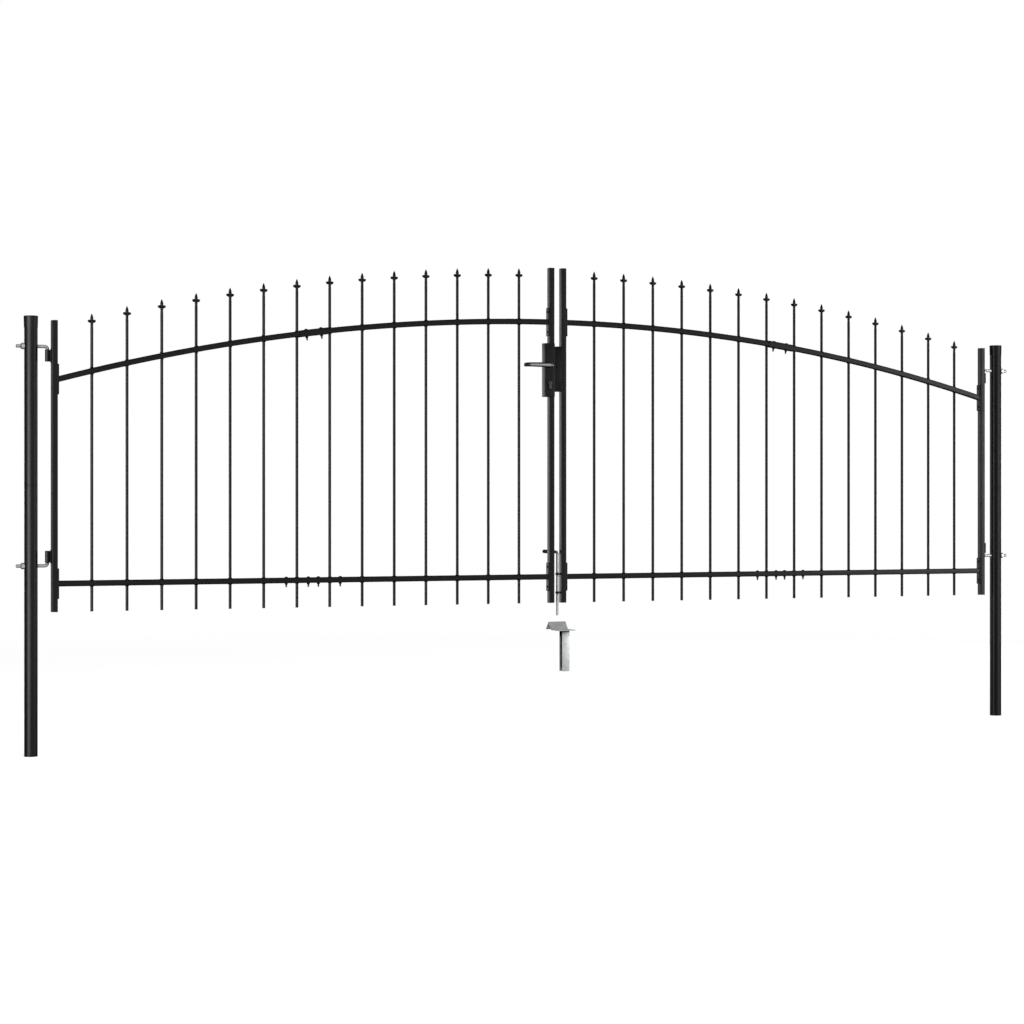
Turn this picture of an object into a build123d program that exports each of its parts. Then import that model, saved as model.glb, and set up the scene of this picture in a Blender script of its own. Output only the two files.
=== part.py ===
import os
from math import atan2, degrees, sqrt

from build123d import *

os.makedirs("parts", exist_ok=True)

# Overall layout: two leaves between two round posts, all sizes in millimetres
overall_width = 3998
post_diameter = 46
post_wall = 2
post_rise = 14
hinge_gap = 44.8
meeting_gap = 29
leaf_plane_offset = 12
leaf_bottom = 490

# Post caps: a thin skirt that widens upwards and a low crown with a bevelled edge
cap_skirt = 36
cap_rim_wall = 0.5
cap_wall = 1.3
cap_crown = 4
cap_bevel = 2.4
fit_clearance = 0.15

# Leaf frames
stile_width = 20
stile_depth = 25
stile_corner = 2
hinge_stile_height = 996
meeting_stile_height = 1246
rail_size = 20
bottom_rail_rise = 97
arch_crown_height = 1534.5
arch_rise = 253

# Bars and their cast spear heads
bars_per_half_leaf = 7
bar_diameter = 10.5
end_gap_extra = 2.3
tip_rise = 197.5
finial_height = 49
finial_span = 29
finial_thickness = 7
finial_neck = 5.6
finial_neck_height = 6.5
finial_bead = 7.8
finial_bead_height = 11.5
finial_arm_height = 24
finial_arm_depth = 8
finial_arm_root = 15.5
finial_spike_width = 7

# Bars, bores, rods and caps are drawn with few sides, and a rod's bend with few chords
bar_sides = 8
bore_sides = 8
rod_sides = 12
cap_sides = 24
bend_chords = 4

# Plates that carry the rail ends, and the sleeves half way along the top rails
end_plate_height = 105
end_plate_thickness = 4
end_plate_bevel = 2
sleeve_length = 110
sleeve_wall = 2

# Hinges: L-shaped bolts through the posts, barrels welded to the stiles
pin_diameter = 12
pin_offset = 57
pin_bend_radius = 10
bolt_outer_reach = 51
top_bolt_drop = 90
bottom_bolt_rise = 158
barrel_diameter = 17
barrel_length = 40
barrel_rise = 11
barrel_web = 8
pin_clearance = 0.3
pin_end_recess = 2
nut_width = 19
nut_thickness = 11

# Lock on the left leaf and its keep on the right one
case_width = 40
case_depth = 30
case_drop = 278.5
case_height = 199
case_edge = 1
spindle_offset = 22
spindle_rise = 116
spindle_size = 8
cylinder_spacing = 64
cylinder_head = 17
cylinder_tail = 10
cylinder_drop = 24.5
cylinder_reach = 5
keep_width = 20
keep_rise = 20
keep_height = 168

# Lever handle
lever_neck_diameter = 17
lever_reach = 38
lever_length = 112
lever_grip_height = 19
lever_grip_thickness = 10
lever_grip_edge = 3
lever_bend_radius = 14
lever_return = 34
lever_return_height = 11
lever_back_collar = 5

# Drop bolt on the right leaf
rod_diameter = 10
rod_offset = 2.5
rod_rise = 50
handle_rise = 189
handle_reach = 121
handle_bend_radius = 12
grip_length = 95
grip_diameter = 14
guide_diameter = 16
guide_thickness = 7
guide_neck = 11
upper_guide_rise = 107
lower_guide_rise = 38

# Ground stop
stop_offset = 5
stop_width = 70
stop_sheet = 3
stop_base_height = 393
stop_ridge_base = 46
stop_ridge_height = 28
stop_flange_depth = 67
stop_apex_offset = 12
stop_hole_clearance = 1.5
stem_width = 30
stem_depth = 25
stem_setback = 13
stem_length = 150

# Places that follow from the sizes above
post_spacing = overall_width - post_diameter
middle = post_spacing / 2
post_radius = post_diameter / 2
leaf_y = -leaf_plane_offset
hinge_stile_top = leaf_bottom + hinge_stile_height
post_height = hinge_stile_top + post_rise
top_bolt_height = hinge_stile_top - top_bolt_drop
bottom_bolt_height = leaf_bottom + bottom_bolt_rise
bottom_rail_height = leaf_bottom + bottom_rail_rise
hinge_stile_reach = middle - post_radius - hinge_gap - stile_width / 2
meeting_stile_reach = meeting_gap / 2 + stile_width / 2
bars_per_leaf = 2 * bars_per_half_leaf
clear_span = hinge_stile_reach - meeting_stile_reach - stile_width
bar_pitch = (clear_span + bar_diameter - 2 * end_gap_extra) / (bars_per_leaf + 1)
first_bar_reach = (
    meeting_stile_reach + stile_width / 2 + end_gap_extra + bar_pitch - bar_diameter / 2
)
splice_reach = first_bar_reach + (bars_per_half_leaf - 0.5) * bar_pitch
rail_outer_end = hinge_stile_reach - stile_width / 2 - end_plate_thickness
rail_inner_end = meeting_stile_reach + stile_width / 2 + end_plate_thickness
arch_radius = (hinge_stile_reach**2 + arch_rise**2) / (2 * arch_rise)
arch_centre_height = arch_crown_height - arch_radius
gap_face_x = middle - meeting_gap / 2
keep_face_x = middle + meeting_gap / 2
case_bottom = arch_crown_height - case_drop
spindle_x = gap_face_x - spindle_offset
spindle_height = case_bottom + spindle_rise
cylinder_height = spindle_height - cylinder_spacing
case_front = leaf_y - case_depth / 2
case_back = leaf_y + case_depth / 2
rod_x = middle + rod_offset
rod_bottom = stop_base_height + rod_rise
handle_height = leaf_bottom + handle_rise


def arch_height(reach):
    """Height of the top rail's centre line at a distance from the middle."""
    return arch_centre_height + sqrt(arch_radius**2 - reach**2)


def shoulder_height(reach):
    """Height at which a bar ends and its spear head begins."""
    return arch_height(reach) + tip_rise - finial_height


def write(piece, name):
    """Labels a finished piece and writes its STEP file."""
    piece.part.label = name
    export_step(piece.part, f"parts/{name}.step")


def level(height, y=0):
    """A level sketch plane at a height."""
    return Plane((0, y, height))


def upright(x, y, height, facing=(0, -1, 0)):
    """An upright sketch plane: by default it faces the front, with its X to the right."""
    across = (-facing[1], facing[0], 0)
    return Plane((x, y, height), x_dir=across, z_dir=facing)


def bent_line(start, corner, end, radius):
    """A rod's centre line round one rounded corner, the bend in short chords."""
    rounded = FilletPolyline(start, corner, end, radius=radius, mode=Mode.PRIVATE)
    bend = rounded.edges().filter_by(GeomType.CIRCLE)[0]
    steps = [bend @ (step / bend_chords) for step in range(bend_chords + 1)]
    if (steps[-1] - Vector(start)).length < (steps[0] - Vector(start)).length:
        steps.reverse()
    return [start, *steps, end]


def arch_band(sign, far_reach, near_reach, thickness):
    """Sketches a strip of the arch, cut off upright at both ends."""
    outline = []
    for radius in (arch_radius + thickness / 2, arch_radius - thickness / 2):
        for reach in (far_reach, (far_reach + near_reach) / 2, near_reach):
            outline.append((sign * reach, sqrt(radius**2 - reach**2)))
    top_far, top_mid, top_near, low_far, low_mid, low_near = outline
    with BuildSketch(upright(middle, leaf_y, arch_centre_height)) as band:
        with BuildLine():
            ThreePointArc(top_far, top_mid, top_near)
            Line(top_near, low_near)
            ThreePointArc(low_near, low_mid, low_far)
            Line(low_far, top_far)
        make_face()
    return band.sketch


# Posts: tubes closed at the foot, drilled for the hinge bolts
for side, sign, post_x in (("left", 1, 0), ("right", -1, post_spacing)):
    with BuildPart() as post:
        with BuildSketch(Plane((post_x, 0, 0))):
            Circle(post_radius)
        extrude(amount=post_height - cap_crown)
        with BuildSketch(Plane((post_x, 0, post_wall))):
            Circle(post_radius - post_wall)
        extrude(amount=post_height, mode=Mode.SUBTRACT)
        for height in (top_bolt_height, bottom_bolt_height):
            with BuildSketch(upright(post_x, 0, height, facing=(1, 0, 0))):
                RegularPolygon(pin_diameter / 2 + fit_clearance, bore_sides, major_radius=False)
            extrude(amount=post_radius, both=True, mode=Mode.SUBTRACT)
    write(post, f"{side}_post")

    # Cap: a skirt that widens upwards under a bevelled crown, hollowed to fit the post
    bore_radius = post_radius + fit_clearance
    skirt_top = post_height - cap_crown
    skirt_foot = Plane((post_x, 0, skirt_top - cap_skirt))
    flare = degrees(atan2(cap_wall - cap_rim_wall, cap_skirt))
    with BuildPart() as cap:
        with BuildSketch(skirt_foot):
            RegularPolygon(bore_radius + cap_rim_wall, cap_sides, major_radius=False)
        extrude(amount=cap_skirt, taper=-flare)
        with BuildSketch(Plane((post_x, 0, skirt_top))):
            RegularPolygon(bore_radius + cap_wall, cap_sides, major_radius=False)
        extrude(amount=cap_crown)
        chamfer(cap.edges().group_by(Axis.Z)[-1], length=cap_bevel)
        with BuildSketch(skirt_foot):
            RegularPolygon(bore_radius, cap_sides, major_radius=False)
        extrude(amount=cap_skirt, mode=Mode.SUBTRACT)
    write(cap, f"{side}_post_cap")

    # Hinge bolts: the top one turns down and the bottom one up, so the leaf can't lift off
    pin_x = post_x + sign * pin_offset
    pin_end = barrel_rise + barrel_length - pin_end_recess
    for place, shank_height, turn in (
        ("top", top_bolt_height, -1),
        ("bottom", bottom_bolt_height, 1),
    ):
        with BuildPart() as hinge_bolt:
            bolt_start = (post_x - sign * bolt_outer_reach, 0, shank_height)
            corner = (pin_x, 0, shank_height)
            bolt_end = (pin_x, 0, shank_height + turn * pin_end)
            with BuildLine():
                Polyline(*bent_line(bolt_start, corner, bolt_end, pin_bend_radius))
            with BuildSketch(upright(*bolt_start, facing=(sign, 0, 0))):
                RegularPolygon(pin_diameter / 2, rod_sides)
            sweep(transition=Transition.RIGHT)
        write(hinge_bolt, f"{side}_{place}_hinge_bolt")

    with BuildPart() as hinge_nuts:
        for height in (top_bolt_height, bottom_bolt_height):
            with BuildSketch(
                upright(post_x - sign * post_radius, 0, height, facing=(-sign, 0, 0))
            ):
                RegularPolygon(nut_width / 2, 6, major_radius=False)
                RegularPolygon(
                    pin_diameter / 2 + fit_clearance,
                    bore_sides,
                    major_radius=False,
                    mode=Mode.SUBTRACT,
                )
            extrude(amount=nut_thickness)
    write(hinge_nuts, f"{side}_hinge_nuts")

# The two leaves are mirror images, apart from the lock and the drop bolt
for side, sign, inner_name in (("left", -1, "lock_stile"), ("right", 1, "meeting_stile")):
    hinge_stile_x = middle + sign * hinge_stile_reach
    meeting_stile_x = middle + sign * meeting_stile_reach

    # Stiles: the lock case interrupts the left one
    with BuildPart() as hinge_stile:
        with BuildSketch(level(leaf_bottom, leaf_y)):
            with Locations((hinge_stile_x, 0)):
                RectangleRounded(stile_width, stile_depth, stile_corner)
        extrude(amount=hinge_stile_height)
    write(hinge_stile, f"{side}_hinge_stile")

    with BuildPart() as meeting_stile:
        with BuildSketch(level(leaf_bottom, leaf_y)):
            with Locations((meeting_stile_x, 0)):
                RectangleRounded(stile_width, stile_depth, stile_corner)
        extrude(amount=meeting_stile_height)
        if side == "left":
            with BuildSketch(level(case_bottom, leaf_y)):
                with Locations((meeting_stile_x, 0)):
                    Rectangle(2 * stile_width, 2 * stile_depth)
            extrude(amount=case_height, mode=Mode.SUBTRACT)
    write(meeting_stile, f"{side}_{inner_name}")

    # Rails in two lengths, closed tubes punched right through for the bars
    spans = (
        ("outer", rail_outer_end, splice_reach, bars_per_half_leaf),
        ("inner", splice_reach, rail_inner_end, 0),
    )
    for half, far_reach, near_reach, first_bar in spans:
        bar_reaches = [
            first_bar_reach + (first_bar + step) * bar_pitch for step in range(bars_per_half_leaf)
        ]
        with BuildSketch(level(0, leaf_y)) as punch:
            with Locations(*[(middle + sign * reach, 0) for reach in bar_reaches]):
                RegularPolygon(bar_diameter / 2 + fit_clearance, bar_sides, major_radius=False)

        with BuildPart() as top_rail:
            band = arch_band(sign, far_reach, near_reach, rail_size)
            extrude(band, amount=rail_size / 2, both=True)
            extrude(punch.sketch, amount=arch_crown_height + rail_size, mode=Mode.SUBTRACT)
        write(top_rail, f"{side}_top_rail_{half}")

        with BuildPart() as bottom_rail:
            rail_start = middle + sign * far_reach
            with BuildSketch(upright(rail_start, leaf_y, bottom_rail_height, (-sign, 0, 0))):
                Rectangle(rail_size, rail_size)
            extrude(amount=far_reach - near_reach)
            extrude(punch.sketch, amount=arch_crown_height, mode=Mode.SUBTRACT)
        write(bottom_rail, f"{side}_bottom_rail_{half}")

        # Bars run from the leaf's bottom to the shoulder under each spear head
        with BuildPart() as bars:
            for reach in bar_reaches:
                with BuildSketch(level(leaf_bottom, leaf_y)):
                    with Locations((middle + sign * reach, 0)):
                        RegularPolygon(bar_diameter / 2, bar_sides, major_radius=False)
                extrude(amount=shoulder_height(reach) - leaf_bottom)
        write(bars, f"{side}_{half}_bars")

    # Spear heads: a tapered neck, a bead, two pointed arms and a spike, flat in the leaf's plane
    with BuildPart() as finials:
        for step in range(bars_per_leaf):
            reach = first_bar_reach + step * bar_pitch
            arm_top = finial_arm_height + finial_arm_depth / 2
            arm_foot = finial_arm_height - finial_arm_depth / 2
            with BuildSketch(upright(middle + sign * reach, leaf_y, shoulder_height(reach))):
                with BuildLine():
                    half = Polyline(
                        (0, 0),
                        (bar_diameter / 2, 0),
                        (finial_neck / 2, finial_neck_height),
                        (finial_bead / 2, finial_bead_height),
                        (finial_neck / 2, finial_arm_root),
                        (finial_span / 3, arm_foot),
                        (finial_span / 2, finial_arm_height),
                        (finial_span / 3, arm_top),
                        (finial_spike_width / 2, 2 * arm_top - finial_arm_height),
                        (0, finial_height),
                    )
                    Line(half @ 1, half @ 0)
                make_face()
                mirror(about=Plane.YZ)
            extrude(amount=finial_thickness / 2, both=True)
    write(finials, f"{side}_finials")

    # Upright plates between the rail ends and the stiles, bevelled towards the rail
    with BuildPart() as end_plates:
        for reach, inward in ((hinge_stile_reach, -sign), (meeting_stile_reach, sign)):
            face_x = middle + sign * reach + inward * stile_width / 2
            plate_reach = abs(face_x + inward * end_plate_thickness / 2 - middle)
            for height in (arch_height(plate_reach), bottom_rail_height):
                with BuildSketch(upright(face_x, leaf_y, height, facing=(0, -inward, 0))):
                    with BuildLine():
                        Polyline(
                            (0, -end_plate_height / 2),
                            (end_plate_thickness - end_plate_bevel, -end_plate_height / 2),
                            (end_plate_thickness, end_plate_bevel - end_plate_height / 2),
                            (end_plate_thickness, end_plate_height / 2 - end_plate_bevel),
                            (end_plate_thickness - end_plate_bevel, end_plate_height / 2),
                            (0, end_plate_height / 2),
                            close=True,
                        )
                    make_face()
                extrude(amount=stile_depth / 2, both=True)
    write(end_plates, f"{side}_rail_end_plates")

    # A sleeve covers the joint in the top rail
    with BuildPart() as sleeve:
        sleeve_near = splice_reach - sleeve_length / 2
        sleeve_far = splice_reach + sleeve_length / 2
        sleeve_bore = rail_size + 2 * fit_clearance
        sleeve_size = sleeve_bore + 2 * sleeve_wall
        outside = arch_band(sign, sleeve_far, sleeve_near, sleeve_size)
        extrude(outside, amount=sleeve_size / 2, both=True)
        inside = arch_band(sign, sleeve_far, sleeve_near, sleeve_bore)
        extrude(inside, amount=sleeve_bore / 2, both=True, mode=Mode.SUBTRACT)
    write(sleeve, f"{side}_top_rail_sleeve")

    # Hinge barrels turn on the pins and are joined to the stile by a web
    pin_x = middle + sign * (middle - pin_offset)
    web_length = abs(hinge_stile_x - pin_x) - stile_width / 2
    with BuildPart() as barrels:
        for barrel_bottom in (
            top_bolt_height - barrel_rise - barrel_length,
            bottom_bolt_height + barrel_rise,
        ):
            with BuildSketch(Plane((pin_x, 0, barrel_bottom))):
                Circle(barrel_diameter / 2)
                with Locations((-sign * web_length / 2, -barrel_web / 2)):
                    Rectangle(web_length, barrel_web)
                RegularPolygon(
                    pin_diameter / 2 + pin_clearance,
                    bore_sides,
                    major_radius=False,
                    mode=Mode.SUBTRACT,
                )
            extrude(amount=barrel_length)
    write(barrels, f"{side}_hinge_barrels")

# Lock case, welded into the left lock stile and flush with its gap face
with BuildPart() as lock_case:
    with BuildSketch(level(case_bottom, leaf_y)):
        with Locations((gap_face_x - case_width / 2, 0)):
            outline = Rectangle(case_width, case_depth)
        chamfer(outline.vertices(), length=case_edge)
    extrude(amount=case_height)
    with BuildSketch(upright(spindle_x, case_front, 0)):
        with Locations((0, spindle_height)):
            RegularPolygon(
                spindle_size * sqrt(2) / 2 + pin_clearance, bore_sides, major_radius=False
            )
        with Locations((0, cylinder_height)):
            Circle(cylinder_head / 2 + fit_clearance)
        with Locations((0, cylinder_height - cylinder_drop / 2)):
            SlotCenterToCenter(
                cylinder_drop - cylinder_tail, cylinder_tail + 2 * fit_clearance, rotation=90
            )
    extrude(amount=-case_depth, mode=Mode.SUBTRACT)
write(lock_case, "lock_case")

# Profile cylinder, a round head over a narrow tail, standing proud on both faces
with BuildPart() as lock_cylinder:
    with BuildSketch(upright(spindle_x, case_front - cylinder_reach, 0)):
        with Locations((0, cylinder_height)):
            Circle(cylinder_head / 2)
        with Locations((0, cylinder_height - cylinder_drop / 2)):
            SlotCenterToCenter(cylinder_drop - cylinder_tail, cylinder_tail, rotation=90)
    extrude(amount=-(case_depth + 2 * cylinder_reach))
write(lock_cylinder, "lock_cylinder")

# Lever: a round neck, and a grip bent back towards the gate that narrows to its end
neck_y = case_front - pin_clearance
grip_y = case_front - lever_reach - lever_grip_thickness / 2
grip_end_x = spindle_x - lever_length + lever_grip_thickness / 2
grip_start_x = spindle_x + lever_neck_diameter / 2
with BuildPart() as lever_handle:
    with BuildSketch(upright(spindle_x, neck_y, spindle_height)):
        Circle(lever_neck_diameter / 2)
    extrude(amount=neck_y - grip_y)
    with BuildLine():
        FilletPolyline(
            (grip_start_x, grip_y, spindle_height),
            (grip_end_x, grip_y, spindle_height),
            (grip_end_x, grip_y + lever_return, spindle_height),
            radius=lever_bend_radius,
        )
    with BuildSketch(upright(grip_start_x, grip_y, spindle_height, facing=(-1, 0, 0))):
        section = Rectangle(lever_grip_thickness, lever_grip_height)
        chamfer(section.vertices(), length=lever_grip_edge)
    sweep()
    with BuildSketch(upright(spindle_x, 0, spindle_height)):
        with BuildLine():
            taper = Polyline(
                (lever_neck_diameter, 0),
                (lever_neck_diameter, lever_grip_height / 2),
                (-lever_neck_diameter, lever_grip_height / 2),
                (-lever_length, lever_return_height / 2),
                (-lever_length, 0),
            )
            mirror(taper, about=Plane.XZ)
        make_face()
    extrude(amount=case_depth + 2 * lever_reach, mode=Mode.INTERSECT)
write(lever_handle, "lever_handle")

with BuildPart() as lever_spindle:
    with BuildSketch(upright(spindle_x, neck_y, spindle_height)):
        Rectangle(spindle_size, spindle_size)
    extrude(amount=-(case_depth + 2 * pin_clearance))
    with BuildSketch(upright(spindle_x, case_back + pin_clearance, spindle_height)):
        RegularPolygon(lever_neck_diameter / 2, rod_sides)
    extrude(amount=-lever_back_collar)
write(lever_spindle, "lever_spindle")

# Keep on the right meeting stile, facing the lock case across the gap
with BuildPart() as lock_keep:
    with BuildSketch(level(case_bottom + keep_rise, leaf_y)):
        with Locations((keep_face_x - keep_width / 2, 0)):
            outline = Rectangle(keep_width, stile_depth)
        chamfer(outline.vertices(), length=case_edge)
    extrude(amount=keep_height)
write(lock_keep, "lock_keep")

# Drop bolt: a rod between the leaves, its top bent back and covered by a grip
handle_end_y = leaf_y + handle_reach
with BuildPart() as drop_bolt_rod:
    rod_end = (rod_x, leaf_y, rod_bottom)
    corner = (rod_x, leaf_y, handle_height)
    handle_end = (rod_x, handle_end_y, handle_height)
    with BuildLine():
        Polyline(*bent_line(rod_end, corner, handle_end, handle_bend_radius))
    with BuildSketch(Plane(rod_end)):
        RegularPolygon(rod_diameter / 2, rod_sides)
    sweep(transition=Transition.RIGHT)
write(drop_bolt_rod, "drop_bolt_rod")

with BuildPart() as drop_bolt_grip:
    with BuildSketch(upright(rod_x, handle_end_y, handle_height)):
        Circle(grip_diameter / 2)
        RegularPolygon(
            rod_diameter / 2 + fit_clearance, bore_sides, major_radius=False, mode=Mode.SUBTRACT
        )
    extrude(amount=grip_length)
write(drop_bolt_grip, "drop_bolt_grip")

with BuildPart() as drop_bolt_guides:
    for rise in (upper_guide_rise, lower_guide_rise):
        with BuildSketch(level(leaf_bottom + rise, leaf_y)):
            with Locations((rod_x, 0)):
                RegularPolygon(guide_diameter / 2, rod_sides)
            with Locations(((rod_x + keep_face_x) / 2, 0)):
                Rectangle(keep_face_x - rod_x, guide_neck)
            with Locations((rod_x, 0)):
                RegularPolygon(
                    rod_diameter / 2 + pin_clearance,
                    bore_sides,
                    major_radius=False,
                    mode=Mode.SUBTRACT,
                )
        extrude(amount=guide_thickness / 2, both=True)
write(drop_bolt_guides, "drop_bolt_guides")

# Ground stop: a sheet folded into a ridge, and a stem that goes into the ground
stop_x = middle - stop_offset
apex_y = leaf_y - stop_apex_offset
ridge_front = apex_y - stop_ridge_base / 2
ridge_back = apex_y + stop_ridge_base / 2
flange_front = ridge_front - stop_flange_depth
with BuildPart() as ground_stop_plate:
    with BuildSketch(upright(stop_x, 0, stop_base_height, facing=(1, 0, 0))):
        with BuildLine():
            fold = Polyline(
                (flange_front, 0),
                (ridge_front, 0),
                (apex_y, stop_ridge_height),
                (ridge_back, 0),
            )
            offset(amount=stop_sheet, side=Side.RIGHT)
        make_face()
    extrude(amount=stop_width / 2, both=True)
    with BuildSketch(Plane((rod_x, leaf_y, stop_base_height))):
        RegularPolygon(rod_diameter / 2 + stop_hole_clearance, bore_sides, major_radius=False)
    extrude(amount=stop_ridge_height, mode=Mode.SUBTRACT)
write(ground_stop_plate, "ground_stop_plate")

with BuildPart() as ground_stop_stem:
    stem_y = flange_front + stem_setback + stem_depth / 2
    with BuildSketch(Plane((stop_x, stem_y, stop_base_height - stop_sheet - stem_length))):
        RectangleRounded(stem_width, stem_depth, stile_corner)
    extrude(amount=stem_length)
write(ground_stop_stem, "ground_stop_stem")
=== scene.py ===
from math import asin, atan2, cos, pi, radians, sin, sqrt

import bmesh
import bpy
from mathutils import Matrix, Vector


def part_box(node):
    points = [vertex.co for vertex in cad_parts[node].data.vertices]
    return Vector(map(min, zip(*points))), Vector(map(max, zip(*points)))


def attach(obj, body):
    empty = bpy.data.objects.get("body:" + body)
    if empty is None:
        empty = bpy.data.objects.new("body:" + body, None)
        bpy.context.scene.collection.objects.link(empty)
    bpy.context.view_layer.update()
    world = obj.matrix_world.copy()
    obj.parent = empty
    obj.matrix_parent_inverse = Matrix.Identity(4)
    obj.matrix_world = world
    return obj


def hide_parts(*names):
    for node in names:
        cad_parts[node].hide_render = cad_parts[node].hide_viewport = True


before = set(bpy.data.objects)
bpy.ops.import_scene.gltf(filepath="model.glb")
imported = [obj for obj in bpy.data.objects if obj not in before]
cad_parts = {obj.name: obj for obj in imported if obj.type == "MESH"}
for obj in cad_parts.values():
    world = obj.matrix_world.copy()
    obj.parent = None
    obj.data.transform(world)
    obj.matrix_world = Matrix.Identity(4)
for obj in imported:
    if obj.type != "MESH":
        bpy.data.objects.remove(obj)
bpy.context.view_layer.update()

mm = 0.001
scene = bpy.context.scene
sides = {"left": -1, "right": 1}
halves = ("outer", "inner")
innerStile = {"left": "left_lock_stile", "right": "right_meeting_stile"}


def inMetres(sizes):
    return {name: size * mm for name, size in sizes.items()}


def between(start, end, share):
    return start + (end - start) * share


# Places read from the frame

def centreOf(node):
    low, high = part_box(node)
    return (low + high) / 2


postX = {side: centreOf(f"{side}_post_cap").x for side in sides}
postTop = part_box("left_post_cap")[1].z
middle = (postX["left"] + postX["right"]) / 2
leafY = centreOf("left_hinge_stile").y
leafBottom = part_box("left_hinge_stile")[0].z
bottomRailHeight = centreOf("left_bottom_rail_outer").z
hingeReach = middle - centreOf("left_hinge_stile").x
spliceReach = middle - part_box("left_bottom_rail_outer")[1].x

arch = inMetres({"crown": 1534.5, "rise": 253})  # centre line of the top rail, between the hinge stiles
archRadius = (hingeReach ** 2 + arch["rise"] ** 2) / (2 * arch["rise"])
archCentre = arch["crown"] - archRadius


def archHeight(reach, rise=0.0):
    return archCentre + sqrt((archRadius + rise) ** 2 - reach ** 2)


# Materials

def linear(hexColour):
    channels = []
    for start in (1, 3, 5):
        level = int(hexColour[start:start + 2], 16) / 255
        channels.append(level / 12.92 if level <= 0.04045 else ((level + 0.055) / 1.055) ** 2.4)
    return (*channels, 1.0)


def clearTree(owner):
    owner.use_nodes = True
    owner.node_tree.nodes.clear()
    return owner.node_tree


def addNode(tree, kind, values=None):
    # A short kind is a shader node. A socket is linked, a node by its first output, and the rest is set
    node = tree.nodes.new(kind if "Node" in kind else "ShaderNode" + kind)
    for key, value in (values or {}).items():
        if isinstance(value, bpy.types.Node):
            value = value.outputs[0]
        if isinstance(value, bpy.types.NodeSocket):
            tree.links.new(value, node.inputs[key])
        elif isinstance(key, int) or key in node.inputs:
            node.inputs[key].default_value = value
        else:
            setattr(node, key, value)
    return node


def startMaterial(name):
    material = bpy.data.materials.new(name)
    tree = clearTree(material)
    return material, tree, addNode(tree, "TexCoord").outputs["Object"]


def endMaterial(material, tree, values):
    shader = addNode(tree, "BsdfPrincipled", values)
    addNode(tree, "OutputMaterial", {"Surface": shader})
    return material


def perMetre(sizeMm):
    return 1 / (sizeMm * mm)


def makePowderCoat():
    # Polyester powder coat over steel, baked: satin black with a faint orange peel and a pale dust film
    coat = {"black": "#070708", "dust": "#111213", "peelMm": 7, "grainMm": 1.4, "dustMm": 90}
    material, tree, place = startMaterial("powder_coat_satin_black")
    peel, grain, cloud = (
        addNode(tree, "TexNoise", {"Scale": perMetre(coat[size]), "Detail": detail, "Vector": place})
        for size, detail in (("peelMm", 1.5), ("grainMm", 1.0), ("dustMm", 4.0)))
    film = addNode(tree, "MapRange", {0: cloud, 1: 0.45, 2: 0.8, 4: 0.35})
    colour = addNode(tree, "Mix", {"data_type": "RGBA", 0: film, 6: linear(coat["black"]),
        7: linear(coat["dust"])})
    rough = addNode(tree, "MapRange", {0: cloud, 1: 0.2, 2: 0.8, 3: 0.32, 4: 0.42})
    wave = addNode(tree, "Bump", {"Strength": 0.08, "Distance": 0.05 * mm, "Height": peel})
    fine = addNode(tree, "Bump", {"Strength": 0.04, "Distance": 0.02 * mm, "Height": grain, "Normal": wave})
    return endMaterial(material, tree, {"IOR": 1.5, "Specular IOR Level": 0.21, "Roughness": rough,
        "Base Color": colour.outputs[2], "Normal": fine})


def makeBlackPlastic():
    # Injection-moulded polyethylene, black, with a fine spark-eroded grain
    plastic = {"black": "#08080a", "grainMm": 0.8}
    material, tree, place = startMaterial("moulded_polyethylene_black")
    grain = addNode(tree, "TexNoise", {"Scale": perMetre(plastic["grainMm"]), "Detail": 2.0,
        "Vector": place})
    rough = addNode(tree, "MapRange", {0: grain, 1: 0.3, 2: 0.7, 3: 0.36, 4: 0.46})
    bump = addNode(tree, "Bump", {"Strength": 0.12, "Distance": 0.1 * mm, "Height": grain})
    return endMaterial(material, tree, {"IOR": 1.49, "Specular IOR Level": 0.26, "Roughness": rough,
        "Base Color": linear(plastic["black"]), "Normal": bump})


def makeGalvanised():
    # Hot-dip galvanised steel: a dull zinc skin with patches of crystal, greyer where it has weathered, and
    # painted shade in its recesses
    zinc = {"bright": "#e4e6e7", "dull": "#d2d4d6", "paintedRecessShade": "#050505", "spangleMm": 9, "bloomMm": 38}
    material, tree, place = startMaterial("galvanised_steel_dull")
    spangle = addNode(tree, "TexVoronoi", {"Scale": perMetre(zinc["spangleMm"]), "Vector": place})
    patch = addNode(tree, "SeparateColor", {0: spangle.outputs["Color"]})
    bloom = addNode(tree, "TexNoise", {"Scale": perMetre(zinc["bloomMm"]), "Detail": 5.0, "Vector": place})
    both = addNode(tree, "Math", {"operation": "MULTIPLY", 0: patch, 1: bloom})
    share = addNode(tree, "MapRange", {0: both, 1: 0.05, 2: 0.5})
    exposed = addNode(tree, "Mix", {"data_type": "RGBA", 0: share, 6: linear(zinc["dull"]),
        7: linear(zinc["bright"])})
    # Painted shade: an Ambient Occlusion mask darkens the zinc to near-black deep inside a fold or channel,
    # where shade falls
    recessOcclusion = addNode(tree, "AmbientOcclusion", {"samples": 8, "Distance": 30 * mm})
    shade = addNode(tree, "MapRange", {0: recessOcclusion.outputs["AO"], 1: 0.5, 2: 0.88})
    colour = addNode(tree, "Mix", {"data_type": "RGBA", 0: shade, 6: linear(zinc["paintedRecessShade"]),
        7: exposed.outputs[2]})
    rough = addNode(tree, "MapRange", {0: patch.outputs[1], 3: 0.5, 4: 0.44})
    bump = addNode(tree, "Bump", {"Strength": 0.06, "Distance": 0.3 * mm, "Height": bloom})
    return endMaterial(material, tree, {"Metallic": 0.6, "Base Color": colour.outputs[2],
        "Roughness": rough, "Normal": bump})


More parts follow.
